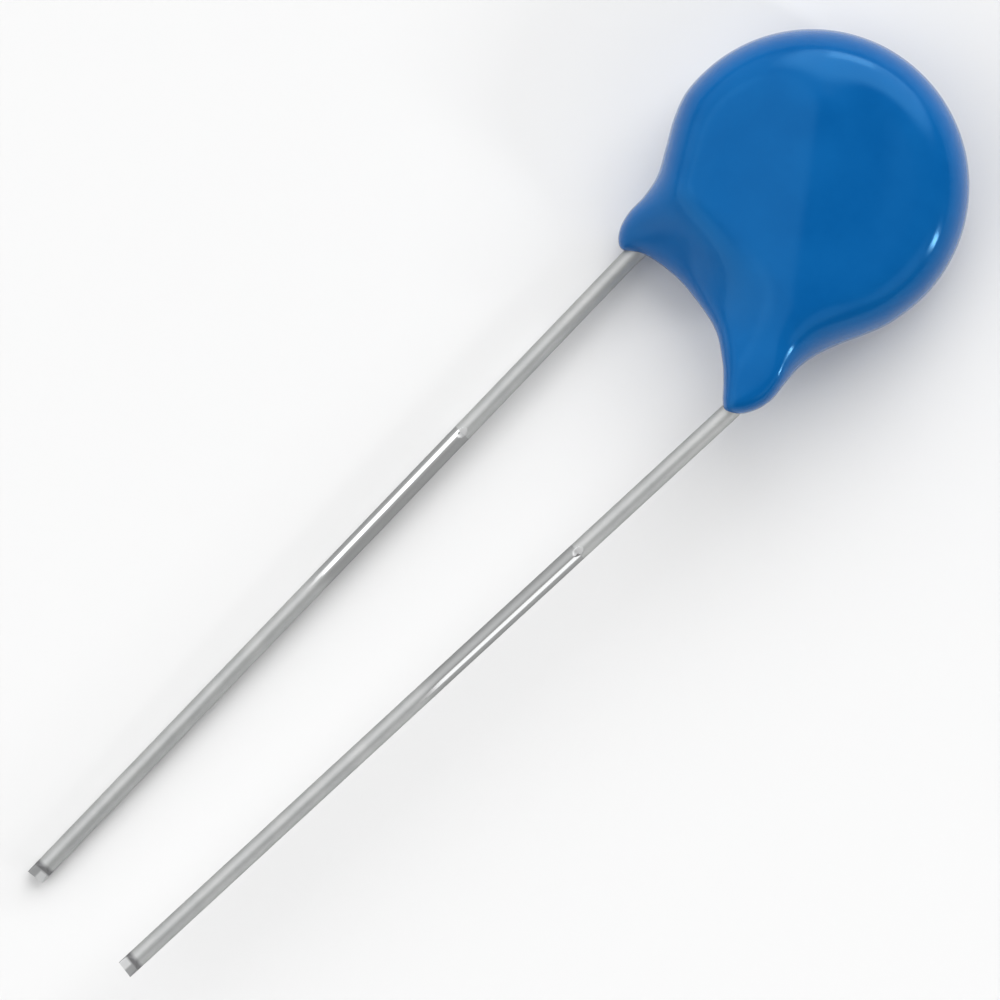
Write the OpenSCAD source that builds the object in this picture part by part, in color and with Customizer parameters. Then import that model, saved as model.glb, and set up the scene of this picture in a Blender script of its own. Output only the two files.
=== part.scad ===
// Leaded disc varistor of the 7 mm size, lying on a flat surface with its front face up.
// A zinc oxide disc with a silver electrode on each face carries two soldered wires and is
// dipped in epoxy, which flows down the wires into two legs of unequal length.
// Millimetres. +Z is up, the leads run towards -Y, and the origin is on the surface under
// the middle of the part. Pieces are drawn round the disc's centre and laid down by lay().

/* [Ceramic disc] */
// Diameter of the zinc oxide disc
ceramic_d = 7; // [6.6:0.05:7.1]
// Thickness of the zinc oxide disc
ceramic_t = 1.6; // [1.2:0.05:1.7]
// Diameter of the silver electrode on each face
electrode_d = 6; // [5.8:0.05:6.3]
// Thickness of an electrode
electrode_t = 0.03; // [0.02:0.01:0.05]

/* [Leads] */
// Diameter of the tinned wire
wire_d = 0.55; // [0.5:0.01:0.6]
// Distance between the two wires where they leave the coating
lead_pitch = 5.25; // [5.1:0.05:5.4]
// How far the pair of wires sits to the right of the disc's centre
lead_shift = 0.355; // [0.3:0.005:0.4]
// Lead tips, measured down from the disc's centre
tip_drop = 30.6; // [22:0.1:34]
// Lean of the left lead towards the right one, in degrees
left_lean = 1.45; // [0:0.05:2]
// Lean of the right lead towards the left one, in degrees
right_lean = 2; // [0:0.05:2.5]
// Length of the cutter's bevel at a lead's tip
bevel_l = 0.38; // [0.2:0.02:0.5]
// Level of the forming tool's nick, down from the disc's centre
nick_drop = 12.4; // [10:0.1:16]

/* [Coating] */
// Diameter over the coating
coat_d = 9.25; // [9.1:0.05:9.5]
// Thickness over the coating, beside the ridges that the wires raise
coat_t = 3.4; // [3.3:0.05:3.8]
// Rise of each face from its rim to its middle
dome_h = 0.1; // [0:0.02:0.2]
// How far in from its edge the disc's rim is rounded
rim_w = 1.5; // [1.3:0.05:1.7]
// Height of the ridge over each buried wire
ridge_h = 0.2; // [0.15:0.01:0.3]
// Half of the width of that ridge
ridge_w = 1.4; // [1:0.05:1.6]
// Thickness of a leg at its foot
leg_t = 1; // [0.9:0.05:1.2]

/* [Hidden] */
$fn = 48;

coat_r = coat_d / 2;
wire_r = wire_d / 2;
solder_film = 0.05;                                   // solder between wire and electrode
face_z = ceramic_t / 2 + electrode_t;                 // outer face of an electrode
wire_z = face_z + solder_film + wire_r;               // axis of a wire, off the mid-plane

// Each wire bends once, inside the coating, and then crosses its electrode slantwise. The two
// are alike but for these values: [across, down, lean, cross, free], which are the place of
// the corner where the two runs would meet, their angles from the part's long axis, and the
// level where the wire comes free of the coating, which is also where the bend begins.
left_x = lead_pitch / 2 - lead_shift;
right_x = lead_pitch / 2 + lead_shift;
left_foot = 5.37;
right_foot = 6.54;
left_knee = 3.6;
right_knee = 4.2;
cross_angle = 38;
left_wire = [left_x + (left_foot - left_knee) * tan(left_lean),
             left_knee, left_lean, cross_angle, left_foot];
right_wire = [right_x + (right_foot - right_knee) * tan(right_lean),
              right_knee, right_lean, cross_angle, right_foot];
inner_end = 1.6;                                      // wires end this far above the centre
joint_l = 0.02;                                       // each stretch reaches this far into the one below
joint_step = 0.005;                                   // and is this much thinner, so that it ends inside it

// Outline of the two legs, each from its neck down to its foot and round to the inside, as
// [out from the wire, down from the disc's centre], and of the crotch between them.
left_leg = [[2.01, 1.46], [1.52, 2.32], [1.15, 3.00], [1.00, 3.70], [0.98, 4.32],
            [0.85, 4.82], [0.61, 5.16], [0.36, 5.27], [0.10, 5.12], [-0.22, 4.91]];
right_leg = [[1.20, 1.97], [0.91, 2.62], [0.64, 3.37], [0.53, 4.04], [0.58, 4.70], [0.63, 5.25],
             [0.53, 5.75], [0.27, 6.20], [-0.10, 6.44], [-0.37, 6.28], [-0.73, 5.90], [-1.25, 5.44]];
crotch = [[-1.34, -4.75], [-0.45, -4.72], [0.90, -4.95]];
disc_from = -14;                                      // the round of the disc runs between these angles
disc_to = 187;
disc_steps = 14;                                      // with this many outline points

// Grid of the coating's skin
spline_steps = 3;                                     // divisions between two outline points
core_r = 2.2;                                         // the middle of a face has round rings
core_steps = 5;
web_steps = 8;                                        // rings from there out to the rim's rounding
rim_steps = 6;                                        // rings from there to the edge

// ---- functions ----

// Rises from 0 at v = a to 1 at v = b, with no slope and no bend at either end
function ramp(a, b, v) = let (u = max(0, min(1, (v - a) / (b - a)))) u * u * u * (10 - 15 * u + 6 * u * u);
function mix(a, b, u) = a + (b - a) * u;

// Closed smooth curve through the points p, each stretch cut into n
function spline(p, n) = [for (i = [0:len(p) - 1], k = [0:n - 1])
    let (m = len(p), u = k / n, a = p[(i + m - 1) % m], b = p[i], c = p[(i + 1) % m], d = p[(i + 2) % m])
    0.5 * (2 * b + (c - a) * u + (2 * a - 5 * b + 4 * c - d) * u * u + (3 * b - a - 3 * c + d) * u * u * u)];

function leg_point(q, side) = [side * ((side > 0 ? right_x : left_x) + q.x), -q.y];
function turned(v) = [for (i = [len(v) - 1:-1:0]) v[i]];

// Distance from point p to the stretch a-b
function gap(p, a, b) =
    let (u = max(0, min(1, (p - a) * (b - a) / ((b - a) * (b - a))))) norm(p - a - u * (b - a));

// The corner where a wire's two runs would meet, and points on the runs
function knee(w, side) = [side * w[0], -w[1]];
function inner_tip(w, side) = knee(w, side) + (inner_end + w[1]) * [-side * tan(w[3]), 1];
function outer_at(w, side, drop) = knee(w, side) + (drop - w[1]) * [-side * tan(w[2]), -1];

// Lift of the coating over one wire: a bell-shaped ridge along each run, blended at the knee
function bell(d) = exp(-1.5 * pow(d / ridge_w, 2));
function ridge(p, w, side) =
    let (k = knee(w, side),
         inner = bell(gap(p, k, inner_tip(w, side))),
         outer = bell(gap(p, k, outer_at(w, side, 8))))
    ridge_h * (inner + outer - inner * outer);

// How far down into the legs a point is, from 0 on the disc to 1 at the feet
function legness(p) = ramp(2.3, 5.8, -p.y);

// The legs part from the mid-plane: the left one sinks to the back wire, the right one
// rises to the front wire, and the web between them slopes from one to the other.
function middle_z(p) = wire_z * legness(p) * (2 * ramp(-left_x, right_x, p.x) - 1);
function half_t(p) =
    mix(coat_t / 2 + dome_h * max(0, 1 - p * p / (coat_r * coat_r)), leg_t / 2, legness(p));

outline = spline(concat(
    [for (k = [0:disc_steps - 1])
        let (a = mix(disc_from, disc_to, k / (disc_steps - 1))) coat_r * [cos(a), sin(a)]],
    [for (q = left_leg) leg_point(q, -1)],
    crotch,
    [for (q = turned(right_leg)) leg_point(q, 1)]), spline_steps);

around = len(outline);
edges = [for (i = [0:around - 1])
    let (a = outline[i], b = outline[(i + 1) % around]) [a, b, (b - a) / norm(b - a)]];

// Smooth distance from a point to the outline: the plain distance beside one edge, and less
// where several are near. It is the root of 2 / s, where s is the integral of 1 / r^3 along
// the outline, added up over its straight stretches.
function sum(v) = v * [for (x = v) 1];
function edge_gap(p) = sqrt(2 / sum([for (e = edges)
    let (a = e[0] - p, b = e[1] - p)
    (b * e[2] / norm(b) - a * e[2] / norm(a)) / max(pow(cross(a, e[2]), 2), 1e-9)]));

// Share of its full thickness that the coating has at point p: it rises from nothing at the
// outline on a curve that starts upright and ends level, over rim_w or half a leg's thickness
function fullness(p) =
    let (u = min(1, edge_gap(p) / mix(rim_w, leg_t / 2, ramp(3, 5, -p.y)))) sqrt(1 - pow(1 - u, 2.6));

// Point of a ring: f runs from 0 at the middle of a face to 1 on the round core and to 2
// where the rim begins, and then phi runs from 90 down to 0 at the edge
function ring_point(q, f, phi) =
    let (rim = mix(rim_w / coat_r, 0.15, ramp(3, 5, -q.y)), reach = norm(q) * (1 - rim * (1 - cos(phi))))
    q / norm(q) * (f < 1 ? core_r * f : mix(core_r, reach, f - 1));
function front_z(p, full) = middle_z(p) + full * (half_t(p) + ridge(p, right_wire, 1));
function back_z(p, full) = middle_z(p) - full * (half_t(p) + ridge(p, left_wire, -1));

// Rings as [f, phi], from the first round the middle out to the last inside the edge
rings = concat([for (k = [1:core_steps]) [k / core_steps, 90]],
    [for (k = [1:web_steps]) [1 + k / web_steps, 90]],
    [for (k = [rim_steps - 1:-1:1]) [2, 90 * k / rim_steps]]);
flat = [for (r = rings, q = outline) let (p = ring_point(q, r[0], r[1])) [p.x, p.y, fullness(p)]];
skin = concat([[0, 0, front_z([0, 0], 1)]],
    [for (p = flat) [p.x, p.y, front_z([p.x, p.y], p.z)]],
    [for (q = outline) [q.x, q.y, middle_z(q)]],
    [for (r = [len(rings) - 1:-1:0], i = [0:around - 1])
        let (p = flat[r * around + i]) [p.x, p.y, back_z([p.x, p.y], p.z)]],
    [[0, 0, back_z([0, 0], 1)]]);
bands = 2 * len(rings);
skin_faces = let (last = len(skin) - 1) concat(
    [for (i = [0:around - 1]) [0, 1 + (i + 1) % around, 1 + i]],
    [for (r = [0:bands - 1], i = [0:around - 1])
        let (a = 1 + r * around + i, b = 1 + r * around + (i + 1) % around) [a, b, b + around]],
    [for (r = [0:bands - 1], i = [0:around - 1])
        let (a = 1 + r * around + i, b = 1 + r * around + (i + 1) % around) [a, b + around, a + around]],
    [for (i = [0:around - 1]) [last, last - around + i, last - around + (i + 1) % around]]);

// The part rests on its coating and on the tip of the lower lead. The tilt that brings
// both to the surface is found by halving.
function skin_low(a) = min([for (p = skin) p.y * sin(a) + p.z * cos(a)]);
function tip_low(a) = -(tip_drop - bevel_l) * sin(a) - (wire_z + wire_r) * cos(a);
function rest(lo, hi, n) =
    let (a = (lo + hi) / 2) n == 0 ? a : tip_low(a) > skin_low(a) ? rest(a, hi, n - 1) : rest(lo, a, n - 1);
tilt = rest(0, 6, 14);
y_mid = (coat_r - tip_drop) / 2 * cos(tilt);

// ---- modules ----

module lay() {
    translate([0, -y_mid, -skin_low(tilt)]) rotate([tilt, 0, 0]) children();
}

// Puts a piece drawn for the front and the right-hand wire on the back and the left
module to_back() {
    rotate([0, 180, 0]) children();
}

module coating_skin() {
    polyhedron(points = skin, faces = skin_faces, convexity = 6);
}

module disc() {
    translate([0, 0, -ceramic_t / 2]) cylinder(d = ceramic_d, h = ceramic_t);
}

module electrode() {
    translate([0, 0, ceramic_t / 2]) cylinder(d = electrode_d, h = electrode_t);
}

// Frame of a wire's inner run: at the knee, with +Y along the run
module at_inner_run(w) {
    translate([w[0], -w[1], wire_z]) rotate([0, 0, w[3]]) children();
}

function inner_l(w) = (inner_end + w[1]) / cos(w[3]);

// The wire in three stretches, from its tip up: the free lead, the bend, and the inner run
// across the electrode
module wire(w) {
    bend = w[2] + w[3];
    cut = (w[4] - w[1]) / cos(w[2]);
    bend_r = cut / tan(bend / 2);
    dip = asin(joint_l / bend_r);
    tip_l = (tip_drop - w[4]) / cos(w[2]);
    nick_l = (nick_drop - w[4]) / cos(w[2]);
    translate([w[0], -w[1], wire_z]) rotate([0, 0, -w[2]]) translate([-bend_r, -cut, 0]) {
        difference() {
            translate([bend_r, 0, 0]) rotate([90, 0, 0]) cylinder(r = wire_r, h = tip_l);
            translate([bend_r, -tip_l, 0]) tip_bevels();
            translate([bend_r, -nick_l, 0]) nick();
        }
        rotate([0, 0, -dip]) rotate_extrude(angle = bend + dip)
            translate([bend_r, 0]) circle(r = wire_r - joint_step);
        rotate([0, 0, bend]) translate([bend_r, -joint_l, 0]) rotate([-90, 0, 0])
            cylinder(r = wire_r - 2 * joint_step, h = inner_l(w) - cut + joint_l);
    }
}

// The two slanting faces that side cutters leave at a wire's end, which meet in a blunt edge
module tip_bevels() {
    edge = wire_r * 0.35;
    for (s = [-1, 1])
        translate([0, 0, s * edge]) rotate([s * atan((wire_r - edge) / bevel_l), 0, 0])
            translate([-wire_d, -wire_d, s > 0 ? 0 : -wire_d])
                cube([2 * wire_d, wire_d + 2 * bevel_l, wire_d]);
}

// Shallow dent across the front and the back of a wire
module nick() {
    nick_r = 0.3;
    nick_depth = 0.05;
    for (s = [-1, 1])
        translate([0, 0, s * (wire_r + nick_r - nick_depth)]) rotate([0, 90, 0])
            cylinder(r = nick_r, h = 2 * wire_d, center = true);
}

// Solder drawn up round the wire: a concave fillet each side, round at both ends
module solder_mound(w) {
    half_w = 0.75;
    top = wire_r * 0.7;
    base = -(wire_r + solder_film);
    fillet = concat([[0, base], [half_w, base]],
        [for (a = [270:-15:195]) [half_w, top] + [(half_w - wire_r) * cos(a), (top - base - 0.08) * sin(a)]],
        [[0, top]]);
    from_y = 3.1;
    to_y = inner_l(w) - 0.3;
    at_inner_run(w) {
        for (s = [0, 1])
            translate([0, to_y, 0]) rotate([90, 0, 0]) mirror([s, 0, 0])
                linear_extrude(to_y - from_y) polygon(fillet);
        for (y = [from_y, to_y])
            translate([0, y, 0]) rotate_extrude() polygon(fillet);
    }
}

module solder(w) {
    difference() {
        solder_mound(w);
        wire(w);
    }
}

module ceramic_disc() {
    color("dimgray") lay() disc();
}

module front_electrode() {
    color("silver") lay() electrode();
}

module back_electrode() {
    color("silver") lay() to_back() electrode();
}

module front_solder() {
    color("lightgray") lay() solder(right_wire);
}

module back_solder() {
    color("lightgray") lay() to_back() solder(left_wire);
}

module left_lead() {
    color("gainsboro") lay() to_back() wire(left_wire);
}

module right_lead() {
    color("gainsboro") lay() wire(right_wire);
}

module coating() {
    color([0.06, 0.37, 0.67]) lay() difference() {
        coating_skin();
        disc();
        electrode();
        to_back() electrode();
        solder_mound(right_wire);
        to_back() solder_mound(left_wire);
        wire(right_wire);
        to_back() wire(left_wire);
    }
}

coating();
ceramic_disc();
front_electrode();
back_electrode();
front_solder();
back_solder();
left_lead();
right_lead();
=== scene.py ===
import math

import bpy
import numpy as np
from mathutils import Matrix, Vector


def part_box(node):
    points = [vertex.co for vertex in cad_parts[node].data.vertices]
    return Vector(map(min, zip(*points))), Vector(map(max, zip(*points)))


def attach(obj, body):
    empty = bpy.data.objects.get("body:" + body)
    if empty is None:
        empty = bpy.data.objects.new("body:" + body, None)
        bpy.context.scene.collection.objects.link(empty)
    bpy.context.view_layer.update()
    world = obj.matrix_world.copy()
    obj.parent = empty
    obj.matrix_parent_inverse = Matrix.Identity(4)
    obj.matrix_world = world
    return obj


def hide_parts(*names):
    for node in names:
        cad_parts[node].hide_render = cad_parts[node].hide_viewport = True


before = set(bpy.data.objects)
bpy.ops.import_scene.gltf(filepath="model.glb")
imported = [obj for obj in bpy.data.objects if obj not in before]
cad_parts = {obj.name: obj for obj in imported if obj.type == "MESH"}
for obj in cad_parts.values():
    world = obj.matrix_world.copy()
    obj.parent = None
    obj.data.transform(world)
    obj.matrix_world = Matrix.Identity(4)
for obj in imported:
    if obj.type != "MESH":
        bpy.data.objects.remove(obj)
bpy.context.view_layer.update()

# A leaded disc varistor: a dipped blue coating on a ceramic disc, with two tinned wires.
# Lengths in the dictionaries are millimetres and angles are degrees. The disc has its own
# frame: across to the right, along towards the round top, up out of the front face.
mm = 0.001
print("frame loaded:", len(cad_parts), "solids")


# The middle of a node's box, in metres.
def nodeMiddle(node):
    low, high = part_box(node)
    return (np.array(low) + np.array(high)) / 2


# The disc's frame comes from the two electrodes, which lie either side of it. The disc was
# turned from level to its tilt by the shortest way.
discMiddle = (nodeMiddle("front_electrode") + nodeMiddle("back_electrode")) / 2
discUp = nodeMiddle("front_electrode") - nodeMiddle("back_electrode")
discUp /= np.linalg.norm(discUp)
discTurn = np.array(Vector((0, 0, 1)).rotation_difference(Vector(discUp)).to_matrix())
discAcross, discAlong = discTurn[:, 0], discTurn[:, 1]


# From the disc's frame in millimetres to the part's own frame in metres: the sum of the
# disc's three directions, each times its coordinate.
def discToPart(across, along, up):
    spot = across[..., None] * discAcross + along[..., None] * discAlong + up[..., None] * discUp
    return discMiddle + mm * spot


# Rises from 0 at low to 1 at high along u^3 (10 - 15 u + 6 u^2), level at both ends.
def ramp(low, high, value):
    u = np.clip((value - low) / (high - low), 0, 1)
    return u * u * u * (10 - 15 * u + 6 * u * u)


# a where share is 0, b where it is 1, and evenly between.
def mix(a, b, share):
    return a + (b - a) * share


# A smooth-shaded mesh of its own, with its place in its points.
def newPiece(name, points, faces):
    mesh = bpy.data.meshes.new(name)
    mesh.from_pydata(points.tolist(), [], faces)
    mesh.polygons.foreach_set("use_smooth", np.ones(len(mesh.polygons), bool))
    mesh.update()
    piece = bpy.data.objects.new(name, mesh)
    bpy.context.scene.collection.objects.link(piece)
    return piece


# Quads between each ring of a grid and the next, where every ring closes on itself.
def ringQuads(rowCount, around, first):
    row, column = np.meshgrid(np.arange(rowCount - 1), np.arange(around), indexing="ij")
    here = first + row * around + column
    beside = first + row * around + (column + 1) % around
    return np.stack([here, here + around, beside + around, beside], axis=-1).reshape(-1, 4)


# A closed skin over rows of rings, with a fan onto one point at each end. Its faces look
# outwards where the rings run anticlockwise, seen from the first end, and turned swaps that.
def closedGrid(name, rings, firstPoint, lastPoint, turned=False):
    rowCount, around = rings.shape[:2]
    points = np.concatenate([[firstPoint], rings.reshape(-1, 3), [lastPoint]])
    last = len(points) - 1
    lastRow = last - around
    side = np.arange(around)
    nextSide = (side + 1) % around
    quads = ringQuads(rowCount, around, 1)
    firstFan = np.stack([np.zeros(around, int), 1 + side, 1 + nextSide], axis=-1)
    lastFan = np.stack([np.full(around, last), lastRow + nextSide, lastRow + side], axis=-1)
    if turned:
        quads, firstFan, lastFan = quads[:, ::-1], firstFan[:, ::-1], lastFan[:, ::-1]
    return newPiece(name, points, firstFan.tolist() + quads.tolist() + lastFan.tolist())


# Values at a piece's points that its material reads by name.
def writeAttribute(piece, name, kind, values):
    field = {"FLOAT": "value", "FLOAT_VECTOR": "vector"}[kind]
    layer = piece.data.attributes.new(name, kind, "POINT")
    layer.data.foreach_set(field, np.ascontiguousarray(values, np.float32).ravel())


wire = {
    "radius": 0.275,
    "pitch": 5.25,             # between the wires where they leave the coating
    "pairShift": 0.355,        # how far the pair sits to the right of the disc's middle
    "height": 1.155,           # axis of a wire above or below the disc's mid-plane
    "innerEnd": 1.6,           # the wires end this far above the disc's middle
    "crossAngle": 38,          # slant of the stretch that crosses the electrode
    "nickLevel": 12.4,         # levels are measured down from the disc's middle
    "nickRadius": 0.6,
    "nickDepth": 0.03,
    "nickReach": 0.3,          # the groove is looked for this far either side of its middle
    "facet": 0.32,             # length of the cutter's two flat faces
    "shoulder": 0.42,          # their steep ends reach the full round here
    "edgeShare": 0.35,         # thickness left at the tip, as a share of the diameter
    "facetShare": 0.62,        # thickness left where the steep ends begin
    "skewLength": 1.2,         # the askew end's lean fades out over this length
    "flatEnd": 19.2,           # the jaws' flat runs from the nick to this level
    "flatFade": 1.6,
    "flatDepth": 0.008,
    "flatLean": 21,            # how far the flat leans outwards
    "behindTip": 1.5,          # the closer rings behind the tip end here
    "besideNick": 0.4,         # and those at the nick run this far either side of it
    # rings in each stretch, from the tip to the inner end
    "ringCounts": [9, 7, 10, 26, 14, 20, 41, 24, 24, 10],
    "around": 72,              # points in a ring
    "pathSteps": 6000,
    "sharpAngle": 32,          # an edge sharper than this isn't smoothed over
}
leads = {
    "left": {"side": -1, "lean": 1.45, "foot": 5.37, "knee": 3.6, "tip": 30.6, "tipSkew": 6},
    "right": {"side": 1, "lean": 2.0, "foot": 6.54, "knee": 4.2, "tip": 30.5, "tipSkew": 5},
}
wireMarks = {
    "flatEdge": 1.0005,        # the flat's edge is marked out to this share of the radius
    # painted highlight in the nick
    "nickHighlight": 0.4,
    "facetHighlight": 0.4,        # painted highlight on the inner half of the cutter's faces
    "facetShade": 0.5,          # painted shade on their outer half
    "halves": (-0.1, 0.2),     # the inner half blends into the outer one between these
    "rootFade": 0.08,          # the painted shade along their root fades over this length
}


# How far out from the disc's middle a wire leaves the coating.
def leadAcross(side):
    return wire["pitch"] / 2 + side * wire["pairShift"]


# Distances along a wire from its tip to its flat and its nick, then the lengths of its free
# stretch, its arc and its run across the electrode. The arc touches both straight stretches
# and takes the length cut off each, so its radius is cut over the tangent of half its turn.
def wireLengths(lead):
    lean, cross = math.radians(lead["lean"]), math.radians(wire["crossAngle"])
    cut = (lead["foot"] - lead["knee"]) / math.cos(lean)
    bendRadius = cut / math.tan((lean + cross) / 2)
    flat = (lead["tip"] - wire["flatEnd"]) / math.cos(lean)
    nick = (lead["tip"] - wire["nickLevel"]) / math.cos(lean)
    freeLength = (lead["tip"] - lead["foot"]) / math.cos(lean)
    arcLength = bendRadius * (lean + cross)
    innerLength = (wire["innerEnd"] + lead["knee"]) / math.cos(cross) - cut
    return flat, nick, freeLength, arcLength, innerLength


# Distances from the tip at which a ring stands: close together over the bevel, the nick and
# the ends of the flat, and even in between.
def ringStations(flat, nick, freeLength, arcLength, innerLength):
    ends = [0, wire["facet"], wire["shoulder"], wire["behindTip"], flat, flat + wire["flatFade"],
            nick - wire["besideNick"], nick + wire["besideNick"], freeLength,
            freeLength + arcLength, freeLength + arcLength + innerLength]
    stretches = [np.linspace(*stretch) for stretch in zip(ends, ends[1:], wire["ringCounts"])]
    return np.unique(np.concatenate(stretches).round(6))


# The flat path of a wire is the running sum of its heading, which is the lean up to the
# coating, turns evenly round the arc and is the slant across the electrode.
def wirePath(lead, station, freeLength, arcLength):
    side = lead["side"]
    lean, cross = math.radians(lead["lean"]), math.radians(wire["crossAngle"])
    fine = np.linspace(0, station[-1], wire["pathSteps"] + 1)
    heading = np.interp(fine, [0, freeLength, freeLength + arcLength, station[-1]],
                        [lean, lean, -cross, -cross])
    step = np.diff(fine)
    middle = (heading[1:] + heading[:-1]) / 2
    tipAcross = side * (leadAcross(side) - (lead["tip"] - lead["foot"]) * math.tan(lean))
    across = tipAcross + np.concatenate([[0], np.cumsum(side * np.sin(middle) * step)])
    along = -lead["tip"] + np.concatenate([[0], np.cumsum(np.cos(middle) * step)])
    return [np.interp(station, fine, values) for values in (across, along, heading)]


# A wire is a ring of points carried along its path. The ring is a circle whose outer
# shoulder is cut by the jaws' flat, radius = (r - depth) / cos(angle from the flat's middle),
# and whose top and bottom are cut level by the nick, a round groove, and by the cutter's
# faces, which close in straight lines to the blunt tip.
def makeLead(name, lead):
    side, radius = lead["side"], wire["radius"]
    flat, nick, freeLength, arcLength, innerLength = wireLengths(lead)
    station = ringStations(flat, nick, freeLength, arcLength, innerLength)
    centreAcross, centreAlong, heading = wirePath(lead, station, freeLength, arcLength)

    turn = np.linspace(0, 2 * np.pi, wire["around"], endpoint=False)
    flatShare = (ramp(flat, flat + wire["flatFade"], station) * (station < nick))[:, None]
    leastCosine = 0.05         # keeps the far side of the ring off a division by 0
    fromFlat = np.maximum(np.cos(turn - np.radians(90 - wire["flatLean"])), leastCosine)
    flatRadius = (radius - wire["flatDepth"] * flatShare) / fromFlat
    ringRadius = np.minimum(radius, flatRadius)
    fromNick = np.minimum(abs(station - nick), wire["nickReach"])
    groove = (radius - wire["nickDepth"] + wire["nickRadius"]
              - np.sqrt(wire["nickRadius"] ** 2 - fromNick ** 2))
    cutter = radius * np.interp(station, [0, wire["facet"], wire["shoulder"]],
                                [wire["edgeShare"], wire["facetShare"], 1])
    level = np.minimum(np.minimum(cutter, groove), radius)[:, None]
    outward = ringRadius * np.cos(turn)
    up = np.clip(ringRadius * np.sin(turn), -level, level)

    # the cutter left the end askew: the rings near it lean, and shorten the wire's inner side
    skew = math.tan(math.radians(lead["tipSkew"])) * (1 - ramp(0, wire["skewLength"], station))
    lag = skew[:, None] * (radius - outward)
    sine, cosine = np.sin(heading)[:, None], np.cos(heading)[:, None]
    rings = discToPart(centreAcross[:, None] + side * (cosine * outward + sine * lag),
                       centreAlong[:, None] - sine * outward + cosine * lag,
                       side * wire["height"] + up)
    piece = closedGrid(f"{name}Lead", rings, rings[0].mean(axis=0), rings[-1].mean(axis=0),
                       turned=side < 0)
    piece.data.set_sharp_from_angle(angle=math.radians(wire["sharpAngle"]))

    # straightened: the wire as if it lay straight, in millimetres, for the drawing lines
    straight = np.stack(np.broadcast_arrays(outward, up, station[:, None]), axis=-1)
    firstEnd, lastEnd = [[0, 0, station[0]]], [[0, 0, station[-1]]]
    writeAttribute(piece, "straightened", "FLOAT_VECTOR",
                   np.concatenate([firstEnd, straight.reshape(-1, 3), lastEnd]))

    # the polish mark: polish with a painted highlight, full on the jaws' flat; a weaker painted
    # highlight in the nick and on the cut faces' inner half
    # the darker stretch: the stretch that ran through the jaws, painted a darker tin
    # the cut mark: painted shade, full along the root of the cut faces, less on their outer half
    onFlat = flatRadius < radius * wireMarks["flatEdge"]
    nearNick = (abs(station - nick) < wire["nickReach"])[:, None]
    touching = 1e-6
    inNick = (abs(up) >= level - touching) & nearNick & (level < radius)
    onFacet = (station < wire["facet"])[:, None]
    outerHalf = ramp(*wireMarks["halves"], outward / radius)
    rootStart = ramp(wire["facet"] - wireMarks["rootFade"], wire["facet"], station)
    rootEnd = ramp(wire["shoulder"], wire["shoulder"] + wireMarks["rootFade"], station)
    root = (rootStart * (1 - rootEnd))[:, None]
    marks = {
        "polishAndHighlight": np.minimum(1, onFlat * flatShare + wireMarks["nickHighlight"] * inNick
                             + wireMarks["facetHighlight"] * onFacet * (1 - outerHalf)),
        "darkStretch": np.broadcast_to(flatShare, outward.shape),
        "cutShade": np.maximum(root, wireMarks["facetShade"] * onFacet * outerHalf),
    }
    for label, mark in marks.items():
        writeAttribute(piece, label, "FLOAT", np.concatenate([[0], mark.reshape(-1), [0]]))
    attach(piece, "root")
    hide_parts(f"{name}_lead")
    return piece


leadPieces = [makeLead(name, lead) for name, lead in leads.items()]
print("wires made")


coating = {
    "diameter": 9.244,
    "thickness": 3.39,
    "dome": 0.1,               # rise of each face from its rim to its middle
    "rimWidth": 1.5,           # how far in from its edge the rim is rounded
    "rimPower": 2.6,           # exponent of the rim's rounding
    "ridgeHeight": 0.2,        # over each buried wire
    "ridgeWidth": 1.4,         # half of the ridge's width
    "ridgeFall": 1.5,          # how fast the ridge dies away at that distance
    "ridgeRun": 8,             # the ridge follows the wire down to this level
    "footThickness": 1.0,
    "legStart": 2.3,           # levels between which the disc turns into legs
    "legEnd": 5.8,
    "legRimStart": 3,          # levels between which the rim narrows to a leg's
    "legRimEnd": 5,
    "legRimShare": 0.15,       # a leg's rim, as a share of the way in to the middle
    "roundFrom": -14,          # the round of the disc runs between these angles
    "roundTo": 187,
    "roundPoints": 14,
    # outline of each leg, from its neck to its foot and round to the inside, as
    # (out from the wire, down from the middle), and of the crotch as (across, along)
    "leftLeg": [(2.01, 1.46), (1.52, 2.32), (1.15, 3.00), (1.00, 3.70), (0.98, 4.32),
                (0.85, 4.82), (0.61, 5.16), (0.36, 5.27), (0.10, 5.12), (-0.22, 4.91)],
    "rightLeg": [(1.20, 1.97), (0.91, 2.62), (0.64, 3.37), (0.53, 4.04), (0.58, 4.70),
                 (0.63, 5.25), (0.53, 5.75), (0.27, 6.20), (-0.10, 6.44), (-0.37, 6.28),
                 (-0.73, 5.90), (-1.25, 5.44)],
    "crotch": [(-1.34, -4.75), (-0.45, -4.72), (0.90, -4.95)],
    "splineSteps": 9,
    "coreRadius": 2.2,         # the middle of a face has round rings
    "coreRings": 12,
    "webRings": 34,
    "rimRings": 26,
}


# A closed smooth curve through the points (Catmull-Rom), each stretch cut into steps.
def closedSpline(points, steps):
    before, after, beyond = (np.roll(points, shift, 0) for shift in (1, -1, -2))
    u = (np.arange(steps) / steps)[None, :, None]
    p, a, b, c = (row[:, None, :] for row in (before, points, after, beyond))
    curve = 0.5 * (2 * a + (b - p) * u + (2 * p - 5 * a + 4 * b - c) * u ** 2
                   + (3 * a - p - 3 * b + c) * u ** 3)
    return curve.reshape(-1, 2)


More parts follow.
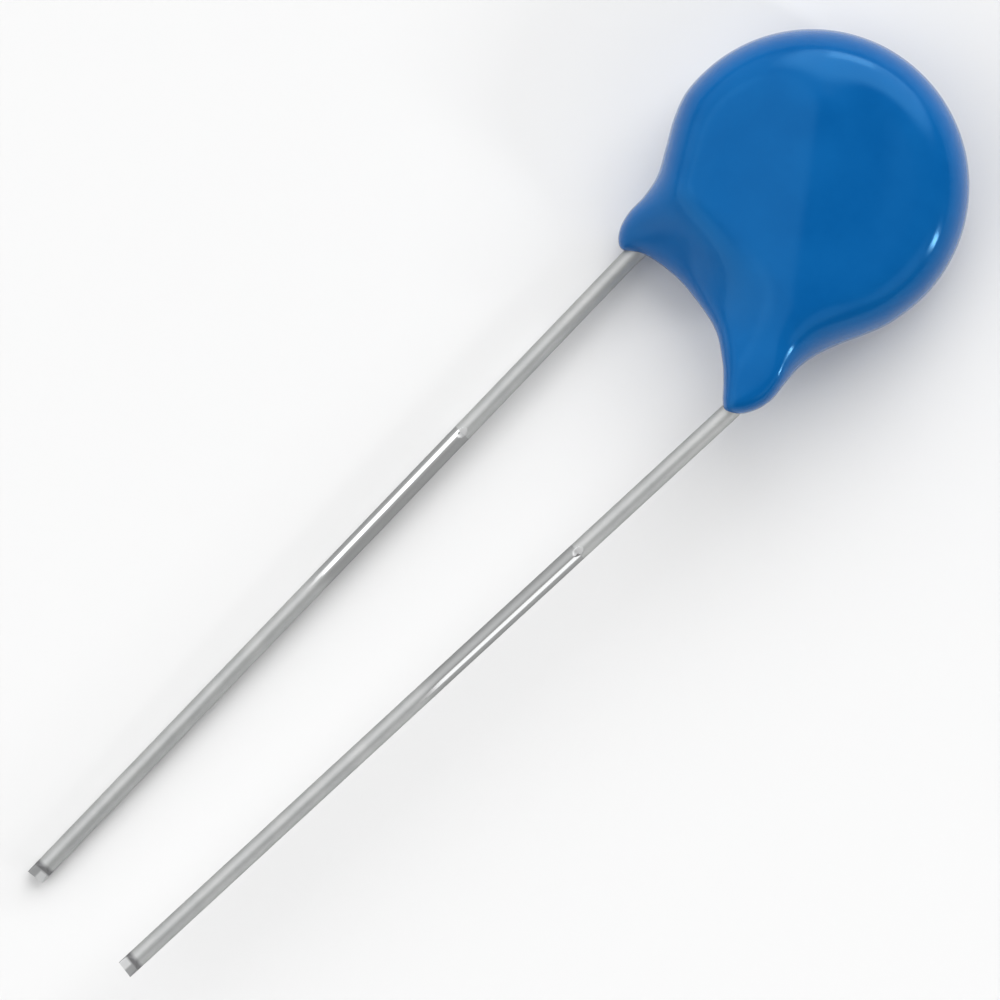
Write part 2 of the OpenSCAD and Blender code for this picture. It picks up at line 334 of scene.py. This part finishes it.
# The coating's edge seen from the front: the disc's circle, the left leg, the crotch and the
# right leg, joined into one curve.
def coatingOutline():
    turn = np.radians(np.linspace(coating["roundFrom"], coating["roundTo"],
                                  coating["roundPoints"]))
    disc = coating["diameter"] / 2 * np.stack([np.cos(turn), np.sin(turn)], axis=-1)
    left = np.array(coating["leftLeg"]) * [-1, -1] - [leadAcross(-1), 0]
    right = (np.array(coating["rightLeg"]) * [1, -1] + [leadAcross(1), 0])[::-1]
    corners = np.concatenate([disc, left, coating["crotch"], right])
    return closedSpline(corners, coating["splineSteps"])


# Smooth distance from points to the outline: the root of 2 / s, where s is the integral of
# 1 / r^3 along it, which over a straight stretch is (end / its r - start / its r) / h^2, with
# h the distance to the stretch's line and start and end measured along it from h's foot.
def edgeGap(points, outline):
    start = outline[None] - points[:, None]
    end = np.roll(outline, -1, 0)[None] - points[:, None]
    along = end - start
    along /= np.linalg.norm(along, axis=-1, keepdims=True)
    height = start[..., 0] * along[..., 1] - start[..., 1] * along[..., 0]
    reach = ((end * along).sum(-1) / np.linalg.norm(end, axis=-1)
             - (start * along).sum(-1) / np.linalg.norm(start, axis=-1))
    leastSquare = 1e-9         # for a point that lies on a stretch's line
    return np.sqrt(2 / (reach / np.maximum(height ** 2, leastSquare)).sum(-1))


# Height of the coating over one wire: a bell, exp(-fall (distance / width)^2), round each of
# its two runs, blended at the knee as a + b - a b.
def ridge(points, lead):
    side = lead["side"]
    lean, cross = math.radians(lead["lean"]), math.radians(wire["crossAngle"])
    kneeAcross = leadAcross(side) + (lead["foot"] - lead["knee"]) * math.tan(lean)
    knee = np.array([side * kneeAcross, -lead["knee"]])
    innerTip = knee + (wire["innerEnd"] + lead["knee"]) * np.array([-side * math.tan(cross), 1])
    outerRun = coating["ridgeRun"] - lead["knee"]
    outerEnd = knee + outerRun * np.array([-side * math.tan(lean), -1])

    def bell(end):
        run = end - knee
        share = np.clip((points - knee) @ run / (run @ run), 0, 1)
        away = np.linalg.norm(points - knee - share[..., None] * run, axis=-1)
        return np.exp(-coating["ridgeFall"] * (away / coating["ridgeWidth"]) ** 2)

    inner, outer = bell(innerTip), bell(outerEnd)
    return coating["ridgeHeight"] * (inner + outer - inner * outer)


# How far the disc has turned into legs, from 0 to 1.
def legShare(points):
    return ramp(coating["legStart"], coating["legEnd"], -points[..., 1])


# The mid-surface is level under the disc, sinks to the back wire at the left leg and rises to
# the front wire at the right leg.
def midSurface(points):
    lean = 2 * ramp(-leadAcross(-1), leadAcross(1), points[..., 0]) - 1
    return wire["height"] * legShare(points) * lean


# One face: the mid-surface plus or minus the half thickness and the ridge, times full. The
# disc's half thickness has a dome on it, 1 - (distance from the middle / radius)^2.
def faceHeight(points, full, lead):
    fromMiddle = (points ** 2).sum(-1) * 4 / coating["diameter"] ** 2
    dome = coating["dome"] * np.maximum(0, 1 - fromMiddle)
    half = mix(coating["thickness"] / 2 + dome, coating["footThickness"] / 2, legShare(points))
    return midSurface(points) + lead["side"] * full * (half + ridge(points, lead))


# The skin is two faces over the outline, front and back, that meet at its edge. Its rings are
# round at first, spread out to the outline through the web and crowd together over the rim,
# where a ring's way in from the edge is the rim's width times 1 - cos(turn). Full rises from
# 0 at the edge as the root of 1 - (1 - distance / rim)^power.
def makeCoating():
    outline = coatingOutline()
    edgeRadius = np.linalg.norm(outline, axis=-1)
    coreCount, webCount, rimCount = [coating[name + "Rings"] for name in ("core", "web", "rim")]
    core = np.arange(1, coreCount + 1) / coreCount
    web = 1 + np.arange(1, webCount + 1) / webCount
    share = np.concatenate([core, web, np.full(rimCount - 1, 2.0)])[:, None]
    rimShare = np.concatenate([np.ones(coreCount + webCount),
                               np.arange(rimCount - 1, 0, -1) / rimCount])
    rimTurn = np.pi / 2 * rimShare[:, None]
    intoLeg = ramp(coating["legRimStart"], coating["legRimEnd"], -outline[:, 1])
    rim = mix(2 * coating["rimWidth"] / coating["diameter"], coating["legRimShare"], intoLeg)
    reach = edgeRadius * (1 - rim * (1 - np.cos(rimTurn)))
    radius = np.where(share < 1, coating["coreRadius"] * share,
                      mix(coating["coreRadius"], reach, share - 1))
    flat = outline / edgeRadius[:, None] * radius[..., None]

    gap = edgeGap(flat.reshape(-1, 2), outline).reshape(flat.shape[:2])
    width = mix(coating["rimWidth"], coating["footThickness"] / 2,
                ramp(coating["legRimStart"], coating["legRimEnd"], -flat[..., 1]))
    full = np.sqrt(1 - (1 - np.minimum(1, gap / width)) ** coating["rimPower"])
    front = faceHeight(flat, full, leads["right"])
    back = faceHeight(flat, full, leads["left"])[::-1]
    place = np.concatenate([flat, outline[None], flat[::-1]])
    height = np.concatenate([front, midSurface(outline)[None], back])
    rings = discToPart(place[..., 0], place[..., 1], height)
    middle = np.zeros((1, 2))
    poles = [discToPart(middle[:, 0], middle[:, 1], faceHeight(middle, 1, leads[name]))[0]
             for name in ("right", "left")]
    piece = closedGrid("dippedCoating", rings, *poles)
    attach(piece, "root")
    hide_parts("coating")
    return piece


coatingPiece = makeCoating()
print("coating made:", len(coatingPiece.data.polygons), "faces")


# Values for a node's sockets, by name or by number. A value that is a socket is linked.
def fillSockets(tree, node, values):
    for key, value in values.items():
        if isinstance(value, bpy.types.NodeSocket):
            tree.links.new(value, node.inputs[key])
        else:
            node.inputs[key].default_value = value


def addNode(tree, kind, sockets=None, settings=None):
    node = tree.nodes.new(kind)
    for key, value in (settings or {}).items():
        setattr(node, key, value)
    fillSockets(tree, node, sockets or {})
    return node


# One step of arithmetic on values that change over the surface.
def addMath(tree, operation, *values, clamp=False):
    settings = {"operation": operation, "use_clamp": clamp}
    return addNode(tree, "ShaderNodeMath", dict(enumerate(values)), settings).outputs[0]


# A node group that takes a position and the named numbers, here with their first values, and
# puts out the named numbers. Its inputs are returned for the nodes inside it.
def newGroup(name, numbers, results):
    tree = bpy.data.node_groups.new(name, "ShaderNodeTree")
    sockets = tree.interface
    sockets.new_socket("Position", in_out="INPUT", socket_type="NodeSocketVector")
    for label, value in numbers.items():
        number = sockets.new_socket(label, in_out="INPUT", socket_type="NodeSocketFloat")
        number.default_value = value
    for label in results:
        sockets.new_socket(label, in_out="OUTPUT", socket_type="NodeSocketFloat")
    return tree, addNode(tree, "NodeGroupInput").outputs


# Takes any position in millimetres and gives a cloud of soft patches and a fine grain, both
# from 0 to 1 and both varying over the surface.
def makeGrainGroup():
    numbers = {"Patch Scale": 0.5, "Grain Scale": 8.0, "Patch Contrast": 1.0}
    tree, given = newGroup("surfaceGrain", numbers, ["Patches", "Grain"])
    cloud = addNode(tree, "ShaderNodeTexNoise", {
        "Vector": given["Position"], "Scale": given["Patch Scale"],
        "Detail": 3.0, "Roughness": 0.55})
    centred = addMath(tree, "SUBTRACT", cloud.outputs["Fac"], 0.5)
    widened = addMath(tree, "MULTIPLY", centred, given["Patch Contrast"])
    grain = addNode(tree, "ShaderNodeTexNoise", {
        "Vector": given["Position"], "Scale": given["Grain Scale"],
        "Detail": 6.0, "Roughness": 0.65})
    addNode(tree, "NodeGroupOutput", {
        "Patches": addMath(tree, "ADD", widened, 0.5, clamp=True),
        "Grain": grain.outputs["Fac"]})
    return tree


# Fine scratches: noise drawn out along one direction and kept only where it peaks.
def makeScratchGroup():
    numbers = {"Density": 6.0, "Stretch": 0.04, "Turn": 0.0, "Threshold": 0.6}
    tree, given = newGroup("fineScratches", numbers, ["Scratches"])
    turned = addNode(tree, "ShaderNodeVectorRotate",
                     {"Vector": given["Position"], "Angle": given["Turn"]},
                     {"rotation_type": "Z_AXIS"})
    drawn = addNode(tree, "ShaderNodeCombineXYZ", {"X": 1.0, "Y": 1.0, "Z": given["Stretch"]})
    longer = addNode(tree, "ShaderNodeVectorMath",
                     {0: turned.outputs[0], 1: drawn.outputs[0]}, {"operation": "MULTIPLY"})
    noise = addNode(tree, "ShaderNodeTexNoise", {
        "Vector": longer.outputs[0], "Scale": given["Density"],
        "Detail": 4.0, "Roughness": 0.6})
    above = addMath(tree, "SUBTRACT", noise.outputs["Fac"], given["Threshold"])
    steepness = 9.0            # a peak 1/9 over the threshold is a full scratch
    addNode(tree, "NodeGroupOutput", {
        "Scratches": addMath(tree, "MULTIPLY", above, steepness, clamp=True)})
    return tree


grainGroup, scratchGroup = makeGrainGroup(), makeScratchGroup()


# A group placed in a material with that material's own numbers.
def placeGroup(tree, group, position, numbers):
    sockets = {"Position": position, **numbers}
    return addNode(tree, "ShaderNodeGroup", sockets, {"node_tree": group}).outputs


def newMaterial(name, displayColour):
    material = bpy.data.materials.new(name)
    material.use_nodes = True
    material.diffuse_color = (*displayColour, 1)
    return material, material.node_tree, material.node_tree.nodes["Principled BSDF"]


# Position on the object in millimetres, so that every pattern's scale reads per millimetre.
def objectMillimetres(tree):
    place = addNode(tree, "ShaderNodeTexCoord").outputs["Object"]
    return addNode(tree, "ShaderNodeVectorMath", {0: place, "Scale": 1 / mm},
                   {"operation": "SCALE"}).outputs[0]


# The first colour where share is 0, the second where it is 1. Either may be a socket. A Mix
# node's colours go in at 6 and 7 and come out at 2.
def blendColours(tree, share, first, second):
    colours = [colour if isinstance(colour, bpy.types.NodeSocket) else (*colour, 1)
               for colour in (first, second)]
    return addNode(tree, "ShaderNodeMix", {0: share, 6: colours[0], 7: colours[1]},
                   {"data_type": "RGBA"}).outputs[2]


# A value from 0 to 1 carried over to the range from low to high.
def remap(tree, value, low, high):
    return addNode(tree, "ShaderNodeMapRange",
                   {"Value": value, "To Min": low, "To Max": high}).outputs["Result"]


def addBump(tree, height, distance):
    return addNode(tree, "ShaderNodeBump", {
        "Strength": 1.0, "Distance": distance * mm, "Height": height}).outputs["Normal"]


def readAttribute(tree, name, output):
    return addNode(tree, "ShaderNodeAttribute", None, {"attribute_name": name}).outputs[output]


blueEpoxy = {
    "deep": (0.0006, 0.079, 0.277),
    "pale": (0.0028, 0.101, 0.325),
    "mottle": {"Patch Scale": 0.55, "Grain Scale": 5.0, "Patch Contrast": 2.0},
    "speckle": (0.0, 0.4),     # share of the pale colour in the darkest and brightest grain
    "gloss": (0.11, 0.17),     # roughness of the clearest and the dullest patches
    "scratches": {"Density": 3.2, "Stretch": 0.05, "Turn": 0.6, "Threshold": 0.66},
    "scratchDulling": 0.08,    # roughness that a scratch adds
    "refraction": 1.45,
    "mirrorTint": (0.2, 0.62, 1.0, 1),   # colour of what the skin mirrors head on
    "skinDepth": 0.004,        # height of the skin's slow waves
}


def makeBlueEpoxy():
    material, tree, shader = newMaterial("blueEpoxy", blueEpoxy["deep"])
    spot = objectMillimetres(tree)
    mottle = placeGroup(tree, grainGroup, spot, blueEpoxy["mottle"])
    scratches = placeGroup(tree, scratchGroup, spot, blueEpoxy["scratches"])
    cloudy = blendColours(tree, mottle["Patches"], blueEpoxy["deep"], blueEpoxy["pale"])
    speckle = remap(tree, mottle["Grain"], *blueEpoxy["speckle"])
    gloss = remap(tree, mottle["Patches"], *blueEpoxy["gloss"])
    fillSockets(tree, shader, {
        "Base Color": blendColours(tree, speckle, cloudy, blueEpoxy["pale"]),
        "Roughness": addMath(tree, "MULTIPLY_ADD", scratches["Scratches"],
                             blueEpoxy["scratchDulling"], gloss),
        "IOR": blueEpoxy["refraction"],
        "Specular Tint": blueEpoxy["mirrorTint"],
        "Normal": addBump(tree, mottle["Patches"], blueEpoxy["skinDepth"]),
    })
    return material


tinnedWire = {
    "tin": (0.54, 0.545, 0.54),
    "dull": (0.45, 0.46, 0.46),
    # a darker tin over the stretch that ran through the jaws
    "darkStretch": (0.38, 0.385, 0.385),
    # painted shade along the root of the cut faces and on their outer half
    "cut": (0.24, 0.24, 0.245),
    # polished tin with a painted highlight on the jaws' flat; painted highlight in the nick and
    # on the cut faces' inner half
    "polishedHighlight": (0.94, 0.945, 0.95),
    "film": {"Patch Scale": 0.9, "Grain Scale": 14.0, "Patch Contrast": 1.8},
    "lines": {"Density": 16.0, "Stretch": 0.015, "Turn": 0.0, "Threshold": 0.5},
    "satin": (0.5, 0.64),      # roughness of the tin
    "flatGloss": 0.12,         # and where the mark on the flat, the nick and the facets is full
    "edgeTint": (0.3, 0.3, 0.3, 1),   # holds back the glare at a wire's sides
    "relief": 0.0015,          # height of the grain
    "lineShare": 0.4,          # height of the drawing lines, as a share of the grain's
    "pressedShare": 0.85,      # how much of both the jaws pressed out of the flat
}


def makeTinnedWire():
    material, tree, shader = newMaterial("tinnedWire", tinnedWire["tin"])
    spot = readAttribute(tree, "straightened", "Vector")
    polishAndHighlight, darkStretch, cutShade = (readAttribute(tree, name, "Fac")
                               for name in ("polishAndHighlight", "darkStretch", "cutShade"))
    film = placeGroup(tree, grainGroup, spot, tinnedWire["film"])
    lines = placeGroup(tree, scratchGroup, spot, tinnedWire["lines"])
    base = blendColours(tree, film["Patches"], tinnedWire["dull"], tinnedWire["tin"])
    # a darker tin over the jaws' stretch
    darkened = blendColours(tree, darkStretch, base, tinnedWire["darkStretch"])
    # painted highlight: the bright polished colour on the flat, in the nick and on the cut
    # faces' inner half
    bright = blendColours(tree, polishAndHighlight, darkened, tinnedWire["polishedHighlight"])
    satin = remap(tree, film["Grain"], *tinnedWire["satin"])
    smooth = addNode(tree, "ShaderNodeMix",
                     {"Factor": polishAndHighlight, "A": satin, "B": tinnedWire["flatGloss"]})
    relief = addMath(tree, "MULTIPLY_ADD", lines["Scratches"], tinnedWire["lineShare"],
                     film["Grain"])
    unpressed = addMath(tree, "MULTIPLY_ADD", polishAndHighlight, -tinnedWire["pressedShare"], 1.0)
    height = addMath(tree, "MULTIPLY", relief, unpressed)
    fillSockets(tree, shader, {
        # painted shade: the dark colour along the cut faces' root and on their outer half
        "Base Color": blendColours(tree, cutShade, bright, tinnedWire["cut"]),
        "Roughness": smooth.outputs["Result"],
        "Metallic": 1.0,
        "Specular Tint": tinnedWire["edgeTint"],
        "Normal": addBump(tree, height, tinnedWire["relief"]),
    })
    return material


innerFinishes = {
    "zincOxide": {
        "nodes": ["ceramic_disc"], "metallic": 0.0, "gloss": (0.62, 0.82), "relief": 0.012,
        "dark": (0.060, 0.066, 0.062), "light": (0.115, 0.120, 0.110),
        "grain": {"Patch Scale": 0.8, "Grain Scale": 11.0, "Patch Contrast": 1.5}},
    "firedSilver": {
        "nodes": ["front_electrode", "back_electrode"], "metallic": 1.0,
        "gloss": (0.42, 0.6), "relief": 0.006,
        "dark": (0.62, 0.61, 0.58), "light": (0.80, 0.79, 0.76),
        "grain": {"Patch Scale": 1.4, "Grain Scale": 18.0, "Patch Contrast": 1.5}},
    "softSolder": {
        "nodes": ["front_solder", "back_solder"], "metallic": 1.0,
        "gloss": (0.2, 0.42), "relief": 0.009,
        "dark": (0.52, 0.53, 0.55), "light": (0.72, 0.73, 0.75),
        "grain": {"Patch Scale": 1.1, "Grain Scale": 9.0, "Patch Contrast": 1.5}},
}


# The pieces under the coating: a grainy colour between two tones, with its own gloss and
# relief. The colour's share of the light tone is patches times grain.
def finishInnerPieces(name, finish):
    material, tree, shader = newMaterial(name, finish["light"])
    grain = placeGroup(tree, grainGroup, objectMillimetres(tree), finish["grain"])
    speckle = addMath(tree, "MULTIPLY", grain["Patches"], grain["Grain"])
    fillSockets(tree, shader, {
        "Base Color": blendColours(tree, speckle, finish["dark"], finish["light"]),
        "Roughness": remap(tree, grain["Grain"], *finish["gloss"]),
        "Metallic": finish["metallic"],
        "Normal": addBump(tree, grain["Grain"], finish["relief"]),
    })
    for node in finish["nodes"]:
        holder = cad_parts[node].data.materials
        holder.clear()
        holder.append(material)


coatingPiece.data.materials.append(makeBlueEpoxy())
wireMaterial = makeTinnedWire()
for piece in leadPieces:
    piece.data.materials.append(wireMaterial)
for name, finish in innerFinishes.items():
    finishInnerPieces(name, finish)
print("materials made")


studio = {
    "floorRadius": 3.0,        # metres, as are all lengths here
    "coveRadius": 0.5,         # the floor turns up into a low wall
    "wallHeight": 0.3,
    "floorColour": (0.77, 0.77, 0.77),
    "floorRoughness": 0.9,
    "floorShine": 0.1,
    "innerShare": 0.05,        # the floor's first ring, as a share of its radius
    "levelRings": 12,
    "coveSteps": 12,
    "floorSides": 64,
    "cameraHeight": 0.42,
    "cameraTurn": 45.3,        # the camera's turn about the vertical
    "fieldWidth": 0.0295,      # width of the floor that the camera sees
    "fieldMiddle": (0.0001, 0.0),
    "sensor": 36,              # millimetres
    "nearClip": 0.05,
    "lampDistance": 1.5,
}

# The air's own light, by the height it comes from, as (sine of the elevation, brightness),
# where 1 is as bright as white paper. Soft lobes are added to it: each is at full strength
# within its inner angle and fades out at its outer one. Azimuths run from the right-hand
# side towards the disc's top.
airLight = [(0.0, 0.2), (0.35, 0.16), (0.64, 0.14), (0.82, 0.16), (1.0, 0.2)]
softLobes = {
    "top": {"azimuth": 111, "elevation": 36, "inner": 25, "outer": 37, "brightness": 2.9},
    "overhead": {"azimuth": 207, "elevation": 68, "inner": 16, "outer": 27, "brightness": 0.95},
    "left": {"azimuth": 170, "elevation": 30, "inner": 15, "outer": 40, "brightness": 0.9},
    "lowerLeft": {"azimuth": 245, "elevation": 23, "inner": 20, "outer": 48, "brightness": 1.5},
    "right": {"azimuth": 0, "elevation": 44, "inner": 7, "outer": 18, "brightness": 0.9},
}
lamps = {
    "windowLamp": {"azimuth": 22, "elevation": 26, "size": (0.14, 0.34), "brightness": 34.0},
    "streakLamp": {"azimuth": 117, "elevation": 24, "size": (0.5, 0.4), "brightness": 4.0},
}


# A round floor whose edge turns up: its profile runs out level, round a quarter circle and
# up the wall, and is carried round the middle, which one flat face closes.
def makeFloor():
    radius, cove, around = studio["floorRadius"], studio["coveRadius"], studio["floorSides"]
    coveTurn = np.linspace(0, np.pi / 2, studio["coveSteps"] + 1)[1:]
    level = np.linspace(studio["innerShare"], 1, studio["levelRings"]) * radius
    out = np.concatenate([level, radius + cove * np.sin(coveTurn), [radius + cove]])[:, None]
    height = np.concatenate([0 * level, cove * (1 - np.cos(coveTurn)),
                             [cove + studio["wallHeight"]]])[:, None]
    turn = np.linspace(0, 2 * np.pi, around, endpoint=False)
    points = np.stack(np.broadcast_arrays(out * np.cos(turn), out * np.sin(turn), height),
                      axis=-1)
    middleFace = list(range(around))
    faces = ringQuads(len(out), around, 0).tolist() + [middleFace]
    floor = newPiece("studioFloor", points.reshape(-1, 3), faces)
    material, tree, shader = newMaterial("floorPaint", studio["floorColour"])
    fillSockets(tree, shader, {
        "Base Color": (*studio["floorColour"], 1),
        "Roughness": studio["floorRoughness"],
        "Specular IOR Level": studio["floorShine"],
    })
    floor.data.materials.append(material)


# The direction of a light, one long.
def towards(azimuth, elevation):
    a, e = math.radians(azimuth), math.radians(elevation)
    return Vector((math.cos(a) * math.cos(e), math.sin(a) * math.cos(e), math.sin(e)))


# Small area lamps turned to the part. A lamp's power is pi x its area x its brightness.
def makeLamps():
    for name, spec in lamps.items():
        lamp = bpy.data.lights.new(name, "AREA")
        lamp.shape = "RECTANGLE"
        width, depth = spec["size"]
        lamp.size, lamp.size_y = width, depth
        lamp.energy = spec["brightness"] * math.pi * width * depth
        holder = bpy.data.objects.new(name, lamp)
        away = towards(spec["azimuth"], spec["elevation"])
        holder.location = away * studio["lampDistance"]
        holder.rotation_euler = (-away).to_track_quat("-Z", "Y").to_euler()
        bpy.context.scene.collection.objects.link(holder)


# The world's strength is the air's light, by height, plus each lobe's, by the angle between a
# direction and the lobe's own.
def makeAir():
    world = bpy.data.worlds.new("studioAir")
    bpy.context.scene.world = world
    world.use_nodes = True
    tree = world.node_tree
    direction = addNode(tree, "ShaderNodeTexCoord").outputs["Generated"]
    height = addNode(tree, "ShaderNodeSeparateXYZ", {"Vector": direction}).outputs["Z"]
    air = addNode(tree, "ShaderNodeValToRGB", {"Fac": height})
    air.color_ramp.interpolation = "EASE"
    stops = air.color_ramp.elements
    while len(stops) < len(airLight):
        stops.new(0.5)
    for stop, (place, brightness) in zip(stops, airLight):
        stop.position = place
        stop.color = (brightness, brightness, brightness, 1)
    total = air.outputs["Color"]
    for lobe in softLobes.values():
        own = towards(lobe["azimuth"], lobe["elevation"])
        facing = addNode(tree, "ShaderNodeVectorMath", {0: direction, 1: own},
                         {"operation": "DOT_PRODUCT"}).outputs["Value"]
        outer, inner = (math.cos(math.radians(lobe[key])) for key in ("outer", "inner"))
        share = addNode(tree, "ShaderNodeMapRange", {
            "Value": facing, "From Min": outer, "From Max": inner, "To Max": lobe["brightness"]
        }, {"interpolation_type": "SMOOTHSTEP"})
        total = addMath(tree, "ADD", total, share.outputs["Result"])
    fillSockets(tree, tree.nodes["Background"], {"Strength": total, "Color": (1, 1, 1, 1)})


def makeCamera():
    lens = bpy.data.cameras.new("topCamera")
    lens.sensor_width = lens.sensor_height = studio["sensor"]
    lens.lens = studio["sensor"] * studio["cameraHeight"] / studio["fieldWidth"]
    lens.clip_start = studio["nearClip"]
    camera = bpy.data.objects.new("topCamera", lens)
    camera.location = (*studio["fieldMiddle"], studio["cameraHeight"])
    camera.rotation_euler = (0, 0, math.radians(studio["cameraTurn"]))
    bpy.context.scene.collection.objects.link(camera)
    bpy.context.scene.camera = camera


makeFloor()
makeLamps()
makeAir()
makeCamera()
bpy.context.scene.view_settings.view_transform = "Standard"
print("studio made")
